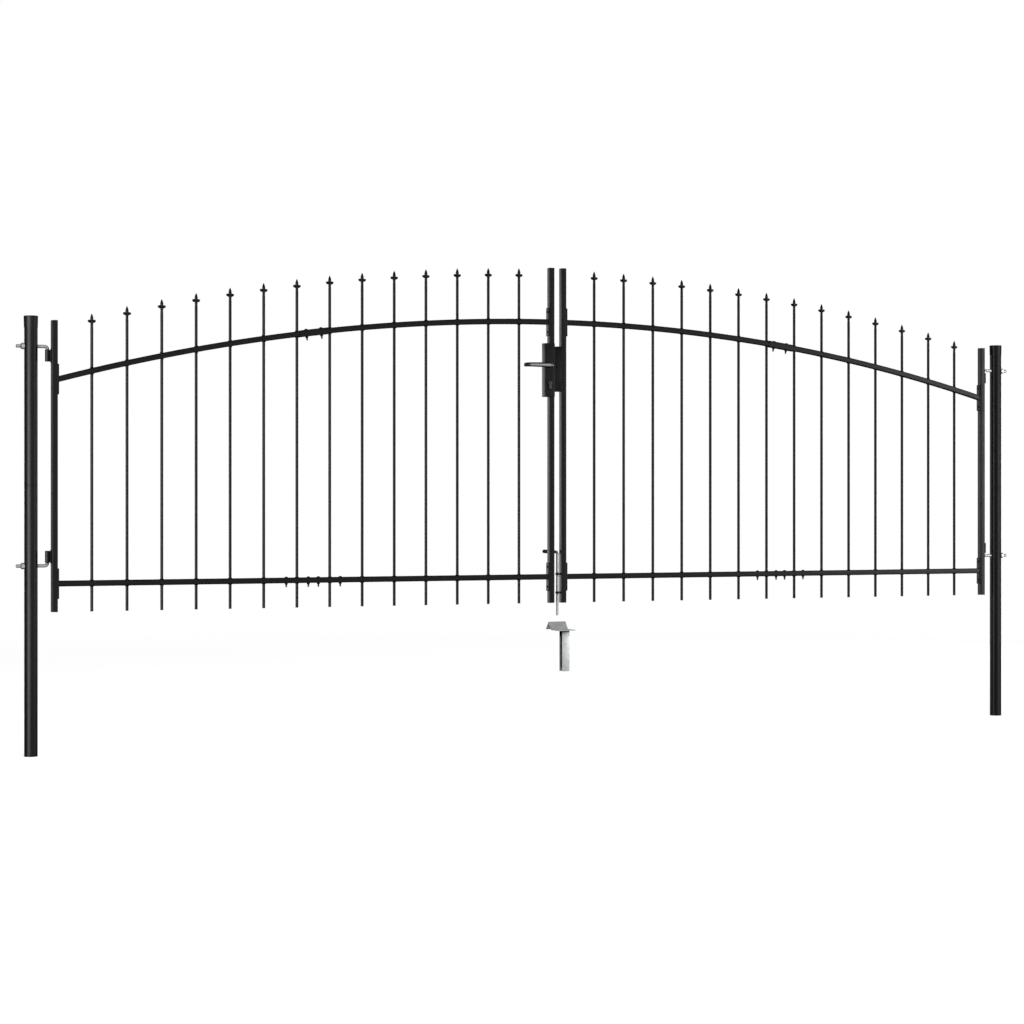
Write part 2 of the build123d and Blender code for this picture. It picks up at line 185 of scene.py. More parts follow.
def makeCastAluminium():
    # Die-cast aluminium, vibro-ground and lacquered: pale, even, with a soft sheen
    alloy = {"metal": "#bfc0c3", "grindMm": 1.2, "smearMm": 26}
    material, tree, place = startMaterial("cast_aluminium_satin")
    grind = addNode(tree, "TexNoise", {"Scale": perMetre(alloy["grindMm"]), "Detail": 3.0, "Vector": place})
    smear = addNode(tree, "TexNoise", {"Scale": perMetre(alloy["smearMm"]), "Vector": place})
    rough = addNode(tree, "MapRange", {0: smear, 1: 0.2, 2: 0.8, 3: 0.3, 4: 0.42})
    bump = addNode(tree, "Bump", {"Strength": 0.1, "Distance": 0.1 * mm, "Height": grind})
    return endMaterial(material, tree, {"Metallic": 1.0, "Base Color": linear(alloy["metal"]),
        "Roughness": rough, "Normal": bump})


def makeNickel():
    # Satin nickel plate on brass: warm grey, finely brushed across the face
    nickel = {"metal": "#4a4946", "brushMm": 0.8}
    material, tree, place = startMaterial("nickel_plate_satin")
    stretch = addNode(tree, "Mapping", {"Scale": (1.0, 1.0, 0.05), "Vector": place})
    brush = addNode(tree, "TexNoise", {"Scale": perMetre(nickel["brushMm"]), "Detail": 2.0,
        "Vector": stretch})
    rough = addNode(tree, "MapRange", {0: brush, 1: 0.2, 2: 0.8, 3: 0.24, 4: 0.38})
    return endMaterial(material, tree, {"Metallic": 1.0, "Base Color": linear(nickel["metal"]),
        "Roughness": rough})


finishes = {
    "powder_coat": makePowderCoat(),
    "black_plastic": makeBlackPlastic(),
    "galvanised_steel": makeGalvanised(),
    "cast_aluminium": makeCastAluminium(),
    "nickel_plate": makeNickel(),
}
print("materials made")


# Mesh makers

def addObject(name, data):
    made = bpy.data.objects.new(name, data)
    scene.collection.objects.link(made)
    return made


def discard(*things):
    for thing in things:
        bpy.data.objects.remove(thing)


def smooth(thing, sharp):
    thing.data.shade_smooth()
    thing.data.set_sharp_from_angle(angle=radians(sharp))
    return thing


def meshFrom(name, form):
    mesh = bpy.data.meshes.new(name)
    form.to_mesh(mesh)
    form.free()
    return mesh


def shell(name, form, sharp=35):
    bmesh.ops.remove_doubles(form, verts=form.verts, dist=1e-6)
    bmesh.ops.dissolve_degenerate(form, edges=form.edges, dist=1e-7)
    bmesh.ops.recalc_face_normals(form, faces=form.faces)
    return smooth(addObject(name, meshFrom(name, form)), sharp)


def skin(name, rings, loop=False, sharp=35):
    # Rings of points joined in turn, closed by caps or, with loop, from the last ring to the first
    form = bmesh.new()
    rows = [[form.verts.new(point) for point in ring] for ring in rings]
    for low, high in zip(rows, rows[1:] + (rows[:1] if loop else [])):
        for step in range(len(low)):
            after = (step + 1) % len(low)
            form.faces.new((low[step], low[after], high[after], high[step]))
    if not loop:
        form.faces.new(rows[0])
        form.faces.new(rows[-1])
    return shell(name, form, sharp)


def circle(radius, count, squash=1.0):
    turns = [2 * pi * step / count for step in range(count)]
    return [(radius * cos(turn), radius * squash * sin(turn)) for turn in turns]


def roundedRectangle(width, depth, radius, steps=4):
    points = []
    for quarter, (alongX, alongY) in enumerate(((1, 1), (-1, 1), (-1, -1), (1, -1))):
        for step in range(steps + 1):
            turn = (quarter + step / steps) * pi / 2
            points.append((alongX * (width / 2 - radius) + radius * cos(turn),
                alongY * (depth / 2 - radius) + radius * sin(turn)))
    return points


def stack(name, sections, place=Matrix(), loop=False, sharp=35):
    # Each section is an outline and its height
    rings = [[place @ Vector((u, v, height)) for u, v in outline] for outline, height in sections]
    return skin(name, rings, loop, sharp)


def lathe(name, profile, place=Matrix(), count=48, loop=False, squash=1.0, sharp=35):
    # Each step of the profile is a radius and its height
    sections = [(circle(radius, count, squash), height) for radius, height in profile]
    return stack(name, sections, place, loop, sharp)


def sweep(name, points, outlines, across, sharp=35):
    # One outline at each point of a path, square to the path
    rings = []
    last = len(points) - 1
    for index, (point, outline) in enumerate(zip(points, outlines)):
        along = (points[min(index + 1, last)] - points[max(index - 1, 0)]).normalized()
        place = Matrix((across, along.cross(across), along)).transposed().to_4x4()
        place.translation = point
        rings.append([place @ Vector((x, y, 0)) for x, y in outline])
    return skin(name, rings, sharp=sharp)


def bentPath(start, corner, end, radius, steps=14):
    into = (corner - start).normalized()
    out = (end - corner).normalized()
    centre = corner + (out - into) * radius
    turns = [step / steps * pi / 2 for step in range(steps + 1)]
    return [start, *(centre - out * radius * cos(turn) + into * radius * sin(turn) for turn in turns), end]


def sweptRod(name, path, radius, chamfer, across, count):
    into = (path[1] - path[0]).normalized() * chamfer
    out = (path[-1] - path[-2]).normalized() * chamfer
    points = [path[0], path[0] + into, *path[1:-1], path[-1] - out, path[-1]]
    radii = [radius - chamfer, *[radius] * len(path), radius - chamfer]
    return sweep(name, points, [circle(size, count) for size in radii], across)


def roundedBox(name, low, high, radius):
    form = bmesh.new()
    bmesh.ops.create_cube(form, size=1.0)
    size = high - low
    for vert in form.verts:
        vert.co = (low + high) / 2 + Vector(a * b for a, b in zip(vert.co, size))
    bmesh.ops.bevel(form, geom=form.edges, offset=radius, segments=3, profile=0.5, affect="EDGES",
        clamp_overlap=True)
    return shell(name, form, sharp=20)


def bakeDown(thing, sharp):
    depsgraph = bpy.context.evaluated_depsgraph_get()
    made = bpy.data.meshes.new_from_object(thing.evaluated_get(depsgraph), depsgraph=depsgraph)
    thing.modifiers.clear()
    thing.data = made
    return smooth(thing, sharp)


def combine(thing, tool, operation="DIFFERENCE", sharp=30):
    change = thing.modifiers.new(operation, "BOOLEAN")
    change.operation = operation
    change.object = tool
    change.solver = "EXACT"
    bakeDown(thing, sharp)
    discard(tool)
    return thing


def rounded(thing, width, segments=2):
    change = thing.modifiers.new("edge", "BEVEL")
    change.width = width
    change.segments = segments
    change.limit_method = "ANGLE"
    change.angle_limit = radians(30)
    change.miter_outer = "MITER_ARC"
    return bakeDown(thing, sharp=40)


def joined(name, things):
    form = bmesh.new()
    for thing in things:
        form.from_mesh(thing.data)
    discard(*things)
    return smooth(addObject(name, meshFrom(name, form)), sharp=35)


wallLitPieces = bpy.data.collections.new("wall_lit_pieces")
stripLitPieces = bpy.data.collections.new("strip_lit_pieces")
boxUnlitPieces = bpy.data.collections.new("box_unlit_pieces")


def finish(thing, body, slot, *nodes):
    if slot == "powder_coat" and not {"lock_keep", "left_hinge_stile"} & set(nodes):
        wallLitPieces.objects.link(thing)
    if slot in ("powder_coat", "black_plastic"):
        stripLitPieces.objects.link(thing)
    if slot == "cast_aluminium":
        boxUnlitPieces.objects.link(thing)
    thing.data.materials.clear()
    thing.data.materials.append(finishes[slot])
    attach(thing, body)
    if nodes:
        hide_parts(*nodes)


def dressNode(name, node, edge, body, slot, segments=2):
    # The solid's own shape, merged, with its edges broken
    form = bmesh.new()
    form.from_mesh(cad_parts[node].data)
    bmesh.ops.remove_doubles(form, verts=form.verts, dist=1e-6)
    bmesh.ops.dissolve_limit(form, angle_limit=radians(1), verts=form.verts, edges=form.edges)
    finish(rounded(shell(name, form, sharp=30), edge, segments), body, slot, node)


# Geometry Nodes trees

def startTree(name, inputs):
    tree = bpy.data.node_groups.new(name, "GeometryNodeTree")
    for label, kind in {**inputs, "Material": "Material"}.items():
        tree.interface.new_socket(label, in_out="INPUT", socket_type="NodeSocket" + kind)
    tree.interface.new_socket("Geometry", in_out="OUTPUT", socket_type="NodeSocketGeometry")
    return tree, tree.nodes.new("NodeGroupInput").outputs


def endTree(tree, given, geometry):
    real = addNode(tree, "GeometryNodeRealizeInstances", {0: geometry})
    painted = addNode(tree, "GeometryNodeSetMaterial", {"Geometry": real, "Material": given["Material"]})
    addNode(tree, "NodeGroupOutput", {0: painted})
    return tree


def endCopies(tree, given, points, turn):
    piece = addNode(tree, "GeometryNodeObjectInfo", {0: given["Piece"]}).outputs["Geometry"]
    copies = addNode(tree, "GeometryNodeInstanceOnPoints", {"Points": points, "Instance": piece,
        "Rotation": turn})
    return endTree(tree, given, copies)


def runTree(name, tree, values, source=None, sharp=35):
    holder = addObject(name, source or bpy.data.meshes.new(name))
    modifier = holder.modifiers.new(name, "NODES")
    modifier.node_group = tree
    for item in tree.interface.items_tree:
        if item.in_out == "INPUT" and item.name in values:
            modifier[item.identifier] = values[item.name]
    return bakeDown(holder, sharp)


archInputs = {"Count": "Int", "First X": "Float", "Pitch": "Float", "Leaf Y": "Float", "Middle X": "Float",
    "Arch Radius": "Float", "Arch Centre": "Float"}


def archPoints(tree, given):
    # One point for each bar, with the arch's slope and its height above it
    start = addNode(tree, "CombineXYZ", {0: given["First X"], 1: given["Leaf Y"]})
    stride = addNode(tree, "CombineXYZ", {0: given["Pitch"]})
    line = addNode(tree, "GeometryNodeMeshLine", {"mode": "OFFSET", "Count": given["Count"],
        "Start Location": start, "Offset": stride})
    spot = addNode(tree, "GeometryNodeInputPosition")
    x = addNode(tree, "SeparateXYZ", {0: spot})
    reach = addNode(tree, "Math", {"operation": "SUBTRACT", 0: x, 1: given["Middle X"]})
    share = addNode(tree, "Math", {"operation": "DIVIDE", 0: reach, 1: given["Arch Radius"]})
    slope = addNode(tree, "Math", {"operation": "ARCSINE", 0: share})
    fall = addNode(tree, "Math", {"operation": "COSINE", 0: slope})
    height = addNode(tree, "Math", {"operation": "MULTIPLY_ADD", 0: fall, 1: given["Arch Radius"],
        2: given["Arch Centre"]})
    return line, slope, height


def makeBarTree():
    # Round bars side by side, each from the foot of the leaf to its own height under the arch
    tree, given = startTree("bars_under_the_arch", {**archInputs, "Foot": "Float", "Bar Radius": "Float",
        "Facets": "Int"})
    points, slope, height = archPoints(tree, given)
    rod = addNode(tree, "GeometryNodeMeshCylinder", {"Vertices": given["Facets"], "Depth": 1.0,
        "Radius": given["Bar Radius"]})
    raised = addNode(tree, "GeometryNodeTransform", {0: rod, "Translation": (0, 0, 0.5)})
    length = addNode(tree, "Math", {"operation": "SUBTRACT", 0: height, 1: given["Foot"]})
    scale = addNode(tree, "CombineXYZ", {0: 1.0, 1: 1.0, 2: length})
    lift = addNode(tree, "CombineXYZ", {2: given["Foot"]})
    placed = addNode(tree, "GeometryNodeSetPosition", {0: points, "Offset": lift})
    rods = addNode(tree, "GeometryNodeInstanceOnPoints", {"Points": placed, "Instance": raised,
        "Scale": scale})
    return endTree(tree, given, rods)


def makeArchCopiesTree():
    # Copies of one piece, one for each bar, standing on the arch or on a level rail
    tree, given = startTree("copies_along_the_arch", {**archInputs, "Piece": "Object", "On Arch": "Float",
        "Level": "Float", "Follow Slope": "Float", "Turn Jitter": "Float", "Seed": "Int"})
    points, slope, height = archPoints(tree, given)
    level = addNode(tree, "Mix", {0: given["On Arch"], 2: given["Level"], 3: height})
    lift = addNode(tree, "CombineXYZ", {2: level})
    placed = addNode(tree, "GeometryNodeSetPosition", {0: points, "Offset": lift})
    lean = addNode(tree, "Math", {"operation": "MULTIPLY", 0: slope, 1: given["Follow Slope"]})
    spin = addNode(tree, "FunctionNodeRandomValue", {2: -3.14, 3: 3.14, "Seed": given["Seed"]})
    yaw = addNode(tree, "Math", {"operation": "MULTIPLY", 0: spin.outputs[1], 1: given["Turn Jitter"]})
    turn = addNode(tree, "CombineXYZ", {1: lean, 2: yaw})
    return endCopies(tree, given, placed, turn)


def makePlacedTree():
    # Copies of one piece on given points, each turned as its point says
    tree, given = startTree("copies_on_points", {"Points": "Geometry", "Piece": "Object"})
    turn = addNode(tree, "GeometryNodeInputNamedAttribute", {"data_type": "FLOAT_VECTOR", "Name": "turn"})
    return endCopies(tree, given, given["Points"], turn)


def makeThreadTree():
    # A helical ridge round a rod
    tree, given = startTree("screw_thread", {"Turns": "Float", "Length": "Float", "Rod Radius": "Float",
        "Ridge": "Float"})
    helix = addNode(tree, "GeometryNodeCurveSpiral", {"Resolution": 20, "Rotations": given["Turns"],
        "Height": given["Length"], "Start Radius": given["Rod Radius"], "End Radius": given["Rod Radius"]})
    wedge = addNode(tree, "GeometryNodeCurvePrimitiveCircle", {"Resolution": 4, "Radius": given["Ridge"]})
    ridge = addNode(tree, "GeometryNodeCurveToMesh", {"Fill Caps": True, "Curve": helix,
        "Profile Curve": wedge})
    return endTree(tree, given, ridge)


barTree, archCopiesTree = makeBarTree(), makeArchCopiesTree()
placedTree, threadTree = makePlacedTree(), makeThreadTree()


def placedCopies(name, unit, spots):
    # Each spot is a place and a turn
    mesh = bpy.data.meshes.new(name)
    mesh.from_pydata([place for place, turn in spots], [], [])
    attribute = mesh.attributes.new("turn", "FLOAT_VECTOR", "POINT")
    for index, (place, turn) in enumerate(spots):
        attribute.data[index].vector = turn
    return runTree(name, placedTree, {"Piece": unit}, source=mesh)


def makeThread(length, pitch, radius, ridge):
    return runTree("thread_unit", threadTree, {"Turns": length / pitch, "Length": length,
        "Rod Radius": radius, "Ridge": ridge})


# Posts and their caps

post = inMetres({"diameter": 46, "wall": 2, "edge": 0.5, "boltHole": 12.3, "seam": 923, "seamGap": 5,
    "seamDepth": 0.5})


def makePosts():
    radius, wall, edge, groove = post["diameter"] / 2, post["wall"], post["edge"], post["seamDepth"]
    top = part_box("left_post")[1].z
    profile = [(0, 0), (radius - edge, 0), (radius, edge)]
    for way in (-1, 1):
        height = post["seam"] + way * post["seamGap"] / 2
        profile += [(radius, height - groove), (radius - groove, height), (radius, height + groove)]
    profile += [(radius, top), (radius - wall, top), (radius - wall, wall), (0, wall)]
    for side in sides:
        tube = lathe(f"{side}_post_tube", profile, Matrix.Translation((postX[side], 0, 0)), count=72)
        for height in boltHeight.values():
            across = Matrix.Translation((postX[side] - radius * 1.5, 0, height))
            across @= Matrix.Rotation(pi / 2, 4, "Y")
            drill = [(post["boltHole"] / 2, 0), (post["boltHole"] / 2, radius * 3)]
            combine(tube, lathe("hole", drill, across, count=32))
        finish(tube, "posts", "powder_coat", f"{side}_post")
    print("posts made")


def makeCaps():
    cap = inMetres({"bore": 46.3, "rimWall": 0.5, "topWall": 1.3, "crown": 4, "skirt": 36, "lip": 0.35,
        "lipHeight": 0.3, "skirtInset": 0.1, "edge": 2.4, "edgeHeight": 1.2, "dome": 0.6})
    bore, crown, lip, rise = cap["bore"] / 2, cap["crown"], cap["lip"], cap["lipHeight"]
    reach = bore + cap["topWall"]
    foot = -cap["skirt"] - crown
    profile = [(0, -crown), (bore, -crown), (bore, foot), (bore + cap["rimWall"], foot),
        (reach - cap["skirtInset"], -crown - 2 * rise), (reach - lip, -crown - rise), (reach - lip, -crown),
        (reach, -crown + rise)]
    for step in range(7):
        turn = step / 6 * pi / 2
        profile.append((reach - cap["edge"] * (1 - cos(turn)),
            cap["edgeHeight"] * (sin(turn) - 1) - cap["dome"]))
    profile += [(reach * 0.6, cap["dome"] * -0.3), (reach * 0.3, cap["dome"] / -15), (0, 0)]
    for side in sides:
        made = lathe(f"{side}_cap_moulding", profile, Matrix.Translation((postX[side], 0, postTop)), count=72)
        finish(made, "posts", "black_plastic", f"{side}_post_cap")
    print("caps made")


# Hinges

hinge = inMetres({"pinDiameter": 12, "pinOffset": 57, "pinChamfer": 0.9, "bend": 10, "threadPitch": 1.75,
    "threadLength": 21, "threadEnd": 1.2, "threadRoot": 0.45, "threadRidge": 0.75, "nutWidth": 19,
    "nutThickness": 11, "nutBore": 12.2, "barrelDiameter": 17, "barrelLength": 40, "barrelEdge": 0.8,
    "boreEdge": 0.4, "clearance": 0.3, "web": 8, "webEdge": 0.7, "weld": 1.4})
boltHeight = {"top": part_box("left_top_hinge_bolt")[1].z - hinge["pinDiameter"] / 2,
    "bottom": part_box("left_bottom_hinge_bolt")[0].z + hinge["pinDiameter"] / 2}


def hexNut(width, thickness, bore):
    # Six flats whose corners are turned off to a cone at both faces
    flats = circle(width / sqrt(3), 6)
    nut = stack("nut_unit", [(flats, 0), (flats, thickness)], sharp=20)
    corner, face = width / sqrt(3) * 1.001, width / 2 * 0.97
    drop = (width / sqrt(3) - face) * 0.6
    turned = lathe("turned", [(0, 0), (face, 0), (corner, drop), (corner, thickness - drop),
        (face, thickness), (0, thickness)])
    combine(nut, turned, "INTERSECT")
    return combine(nut, lathe("bore", [(bore / 2, -thickness), (bore / 2, 2 * thickness)], count=24))


def makeHinges():
    pin = hinge["pinDiameter"] / 2
    nut = hexNut(hinge["nutWidth"], hinge["nutThickness"], hinge["nutBore"])
    thread = makeThread(hinge["threadLength"], hinge["threadPitch"], pin - hinge["threadRoot"],
        hinge["threadRidge"])
    for side, sign in sides.items():
        pinX = postX[side] - sign * hinge["pinOffset"]
        tilt = (0, sign * pi / 2, 0)
        nutSpots, threadSpots = [], []
        for which, height in boltHeight.items():
            low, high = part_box(f"{side}_{which}_hinge_bolt")
            outer = low.x if side == "left" else high.x
            end = low.z if which == "top" else high.z
            path = bentPath(Vector((outer, 0, height)), Vector((pinX, 0, height)), Vector((pinX, 0, end)),
                hinge["bend"])
            bolt = sweptRod(f"{side}_{which}_hinge_pin", path, pin - 0.02 * mm, hinge["pinChamfer"],
                Vector((0, 1, 0)), 32)
            finish(bolt, "posts", "galvanised_steel", f"{side}_{which}_hinge_bolt")
            nutSpots.append(((postX[side] + sign * post["diameter"] / 2, 0, height), tilt))
            root = outer - sign * (hinge["threadLength"] + hinge["threadEnd"])
            threadSpots.append(((root, 0, height), tilt))
        nuts = placedCopies(f"{side}_hinge_hex_nuts", nut, nutSpots)
        finish(nuts, "posts", "galvanised_steel", f"{side}_hinge_nuts")
        finish(placedCopies(f"{side}_hinge_threads", thread, threadSpots), "posts", "galvanised_steel")
    discard(nut, thread)
    print("hinge bolts made")


def weldRun(start, end, radius, ripple=2.4 * mm):
    # A run of overlapping ripples, laid as a bead along a corner
    length = (end - start).length
    count = max(int(length / ripple * 4), 8)
    points, outlines = [], []
    for step in range(count + 1):
        share = step / count
        swell = 1 + 0.16 * sin(share * length / ripple * 2 * pi)
        taper = min(1.0, 0.35 + 5 * min(share, 1 - share))
        points.append(start.lerp(end, share))
        outlines.append(circle(radius * swell * taper, 8))
    return sweep("weld", points, outlines, Vector((1, 0, 0)), sharp=60)


def makeBarrels():
    outer = hinge["barrelDiameter"] / 2
    bore = hinge["pinDiameter"] / 2 + hinge["clearance"]
    length, edge, lip, web = (hinge[key] for key in ("barrelLength", "barrelEdge", "boreEdge", "web"))
    profile = [(bore + lip, 0), (outer - edge, 0), (outer, edge), (outer, length - edge),
        (outer - edge, length), (bore + lip, length), (bore, length - lip), (bore, lip)]
    for side, sign in sides.items():
        pinX = postX[side] - sign * hinge["pinOffset"]
        low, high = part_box(f"{side}_hinge_barrels")
        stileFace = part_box(f"{side}_hinge_stile")[0 if side == "left" else 1].x
        near, far = sorted((pinX - sign * (outer - 1.2 * mm), stileFace))
        corners = ((stileFace + sign * 0.4 * mm, 4 * mm), (pinX - sign * (outer - 0.8 * mm), -1 * mm))
        parts = []
        for bottom in (low.z, high.z - length):
            top = bottom + length
            parts.append(lathe("barrel", profile, Matrix.Translation((pinX, 0, bottom)), loop=True))
            parts.append(roundedBox("web", Vector((near, -web, bottom + 0.5 * mm)),
                Vector((far, 0, top - 0.5 * mm)), hinge["webEdge"]))
            for y in (0.5 * mm - web, -0.25 * mm):
                for x, spill in corners:
                    parts.append(weldRun(Vector((x, y, bottom - spill)), Vector((x, y, top + spill)),
                        hinge["weld"]))
        finish(joined(f"{side}_hinge_knuckles", parts), f"{side}_leaf", "powder_coat",
            f"{side}_hinge_barrels")
    print("hinge barrels made")


# Leaf frames

frameTube = inMetres({"width": 20, "depth": 25, "corner": 2.5, "wall": 1.5, "boreCorner": 1.3, "plug": 2,
    "rail": 20, "railCorner": 2.8, "sleeve": 24.3, "sleeveCorner": 2.6, "sleeveWall": 1.9})
plugShape = ((-6, 1.7), (-0.01, 1.7), (0, 0.1), (0.55, 0.0), (0.85, 0.5), (1, 1.6))  # share of lip, inset mm


def stileOutline(inset, corner):
    return roundedRectangle(frameTube["width"] - 2 * inset, frameTube["depth"] - 2 * inset, corner)


def makeStiles():
    outline = stileOutline(0, frameTube["corner"])
    bore = stileOutline(frameTube["wall"], frameTube["boreCorner"])
    for side in sides:
        for node, label in ((f"{side}_hinge_stile", "hinge_upright"), (innerStile[side], "meeting_upright")):
            low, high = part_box(node)
            place = Matrix.Translation(((low.x + high.x) / 2, leafY, 0))
            bottom, top = low.z + frameTube["plug"], high.z - frameTube["plug"]
            spans = [(bottom, caseLow.z), (caseHigh.z, top)] if node == "left_lock_stile" else [(bottom, top)]
            tubes = [stack("tube", [(outline, foot), (outline, head), (bore, head), (bore, foot)], place,
                loop=True) for foot, head in spans]
            finish(joined(f"{side}_{label}", tubes), f"{side}_leaf", "powder_coat", node)
            plugs = []
            for end, way in ((bottom, -1), (top, 1)):
                sections = [(stileOutline(inset * mm, max(frameTube["corner"] - inset * mm, 0.6 * mm)),
                    end + way * frameTube["plug"] * share) for share, inset in plugShape]
                plugs.append(stack("plug", sections, place))
            finish(joined(f"{side}_{label}_plugs", plugs), f"{side}_leaf", "black_plastic")
    print("uprights made")


def archedTube(name, side, node, size, corner, wall=0.0, steps=40):
    # A square tube along the arch, as long as the solid that it stands for
    near, far = sorted(abs(end.x - middle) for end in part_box(node))
    shares = [step / steps for step in range(steps + 1)]
    lengths = [(roundedRectangle(size, size, corner), far, near)]
    if wall:
        bore = roundedRectangle(size - 2 * wall, size - 2 * wall, max(corner - wall, 0.4 * mm))
        lengths.append((bore, near, far))
    rings = []
    for outline, start, end in lengths:
        for reach in (between(start, end, share) for share in shares):
            x = middle + sides[side] * reach
            rings.append([(x, leafY + u, archHeight(reach, v)) for u, v in outline])
    finish(skin(name, rings, loop=bool(wall)), f"{side}_leaf", "powder_coat", node)


def makeRails():
    size, corner = frameTube["rail"], frameTube["railCorner"]
    outline = roundedRectangle(size, size, corner)
    for side in sides:
        for half in halves:
            archedTube(f"{side}_arched_tube_{half}", side, f"{side}_top_rail_{half}", size, corner)
            node = f"{side}_bottom_rail_{half}"
            rings = [[(end.x, leafY + u, bottomRailHeight + v) for u, v in outline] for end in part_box(node)]
            finish(skin(f"{side}_level_tube_{half}", rings), f"{side}_leaf", "powder_coat", node)
        archedTube(f"{side}_arched_sleeve", side, f"{side}_top_rail_sleeve", frameTube["sleeve"],
            frameTube["sleeveCorner"], frameTube["sleeveWall"], steps=12)
        dressNode(f"{side}_plates", f"{side}_rail_end_plates", 0.5 * mm, f"{side}_leaf", "powder_coat")
    print("rails made")


# Bars, spear heads and weld beads

bars = {**inMetres({"diameter": 10.5, "tipRise": 197.5}), "facets": 24, "perLeaf": 14}
spear = {**inMetres({"neck": 9.6, "neckHeight": 6.5, "bead": 10.6, "rootHeight": 15.5, "spikeWidth": 11.6,
    "spikeHeight": 29, "armHeight": 22, "armReach": 14.5, "armRoot": 15.5, "armTip": 8, "armDepth": 9.4,
    "armRise": 1.4, "armSag": 0.9, "foot": 0.6, "height": 49}), "flatness": 0.9}
barRows = {}
for side in sides:
    lows, highs = zip(*(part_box(f"{side}_{half}_bars") for half in halves))
    first = min(low.x for low in lows) + bars["diameter"] / 2
    last = max(high.x for high in highs) - bars["diameter"] / 2
    barRows[side] = (first, (last - first) / (bars["perLeaf"] - 1))


def archValues(side, above, start=0, count=bars["perLeaf"]):
    first, pitch = barRows[side]
    return {"Count": count, "First X": first + start * pitch, "Pitch": pitch, "Leaf Y": leafY,
        "Middle X": middle, "Arch Radius": archRadius, "Arch Centre": archCentre + above}


def makeBars():
    count = bars["perLeaf"] // 2
    for side in sides:
        for half in halves:
            start = 0 if (half == "outer") == (side == "left") else count
            made = runTree(f"{side}_{half}_round_bars", barTree,
                {**archValues(side, bars["tipRise"] - spear["height"], start, count), "Foot": leafBottom,
                "Bar Radius": bars["diameter"] / 2, "Facets": bars["facets"]})
            finish(made, f"{side}_leaf", "powder_coat", f"{side}_{half}_bars")
    print("bars made")


def makeSpearUnit():
    # Cast head: socket cone, bead, leaf-shaped spike and two blunt arms that sag a little
    bar, neck, bead, spike = (width / 2 for width in (bars["diameter"], spear["neck"], spear["bead"],
        spear["spikeWidth"]))
    foot, waist, root, tip = (spear[key] for key in ("foot", "neckHeight", "rootHeight", "height"))
    profile = [(0, 0), (bar, 0), (bar, foot)]
    for share in (step / 4 for step in range(1, 5)):
        profile.append((between(bar, neck, share * share * (3 - 2 * share)), between(foot, waist, share)))
    for share in (step / 8 for step in range(1, 8)):
        profile.append((between(neck * 0.9, bead, sin(share * pi)), between(waist, root, share)))
    profile.append((neck, root))
    belly = (spear["spikeHeight"] - root) / (tip - root)
    for share in (step / 12 for step in range(1, 13)):
        if share < belly:
            radius = between(neck, spike, sin(share / belly * pi / 2))
        else:
            radius = spike * cos((share - belly) / (1 - belly) * pi / 2) ** 0.85
        profile.append((max(radius, 0), between(root, tip, share)))
    body = lathe("spear_body", profile, count=16, squash=spear["flatness"], sharp=50)
    rings = []
    for step in range(-10, 11):
        share = abs(step) / 10
        centre = spear["armHeight"] + spear["armRise"] * share - spear["armSag"] * sin(share * pi)
        blunt = sqrt(max(1 - max(share - 0.8, 0) ** 2 * 24, 0.03)) / 2
        tall = between(spear["armTip"], spear["armRoot"], (1 - share) ** 1.3) * blunt
        deep = between(spear["armTip"], spear["armDepth"], 1 - share) * blunt
        reach = step / 10 * spear["armReach"]
        rings.append([(reach, deep * u, centre + tall * v) for u, v in circle(1, 12)])
    return combine(body, skin("arms", rings, sharp=60), "UNION", sharp=50)


def makeBeadUnit(radius, thickness):
    # A ring of weld, three steps to each ripple
    rings = []
    count = 27
    for step in range(count):
        turn = 2 * pi * step / count
        outline = circle(thickness * (1 + 0.18 * sin(step / 3 * 2 * pi)), 8)
        rings.append([((radius + x) * cos(turn), (radius + x) * sin(turn), y * 0.9) for x, y in outline])
    return skin("bead", rings, loop=True, sharp=70)


def makeHeadsAndWelds():
    weld = {**inMetres({"thickness": 1.7, "offset": 0.4, "rise": 10.2}), "seed": 7}
    unit = makeSpearUnit()
    bead = makeBeadUnit(bars["diameter"] / 2 + weld["offset"], weld["thickness"])
    for side in sides:
        heads = runTree(f"{side}_spear_heads", archCopiesTree,
            {**archValues(side, bars["tipRise"] - spear["height"]), "Piece": unit, "On Arch": 1.0,
            "Follow Slope": 0.0, "Turn Jitter": 0.0, "Seed": 1}, sharp=50)
        finish(heads, f"{side}_leaf", "powder_coat", f"{side}_finials")
        rings = []
        for index, rise in enumerate((-weld["rise"], weld["rise"])):
            for onArch in (1.0, 0.0):
                rings.append(runTree("beads", archCopiesTree, {**archValues(side, rise), "Piece": bead,
                    "On Arch": onArch, "Level": bottomRailHeight + rise, "Follow Slope": onArch,
                    "Turn Jitter": 1.0, "Seed": weld["seed"] + index}, sharp=70))
        finish(joined(f"{side}_bar_welds", rings), f"{side}_leaf", "powder_coat")
    discard(unit, bead)
    print("spear heads and welds made")


# Bolts through the rails, and screws in the end plates

railBolt = inMetres({"diameter": 6, "end": 0.7, "head": 12.5, "headRim": 0.5, "headHeight": 3.6, "nut": 10,
    "nutHeight": 5, "nutBore": 5.8, "tail": 9, "threadPitch": 1.2, "threadRoot": 0.3, "threadRidge": 0.5,
    "sleeveSpread": 28, "nearSpread": 19, "farSpread": 102})


